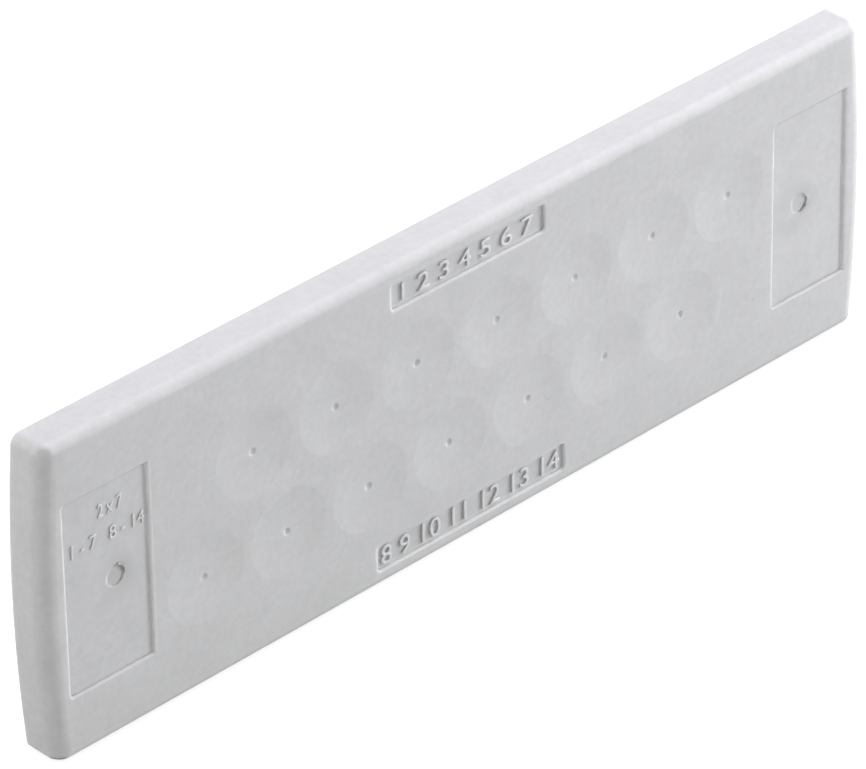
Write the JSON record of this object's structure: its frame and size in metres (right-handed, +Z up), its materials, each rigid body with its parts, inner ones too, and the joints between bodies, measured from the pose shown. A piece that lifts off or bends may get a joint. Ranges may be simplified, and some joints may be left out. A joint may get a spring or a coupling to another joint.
{
  "type": "cable entry plate",
  "caption": "Flat grey rectangular plate with bowed ends and two staggered rows of thin dished membranes, which cables are pushed through; it closes and seals a wall cut-out.",
  "frame": {"origin": "middle of the rear sealing face, which lies on the wall", "axes": "+X along the plate, to the right seen from the front; +Y to the rear, into the wall; +Z up"},
  "size_m": [0.147, 0.0097, 0.0466],
  "materials": {
    "soft_grey": "matte moulded elastomer, light grey"
  },
  "bodies": {
    "root": {"entry_plate": "soft_grey"}
  },
  "joints": []
}
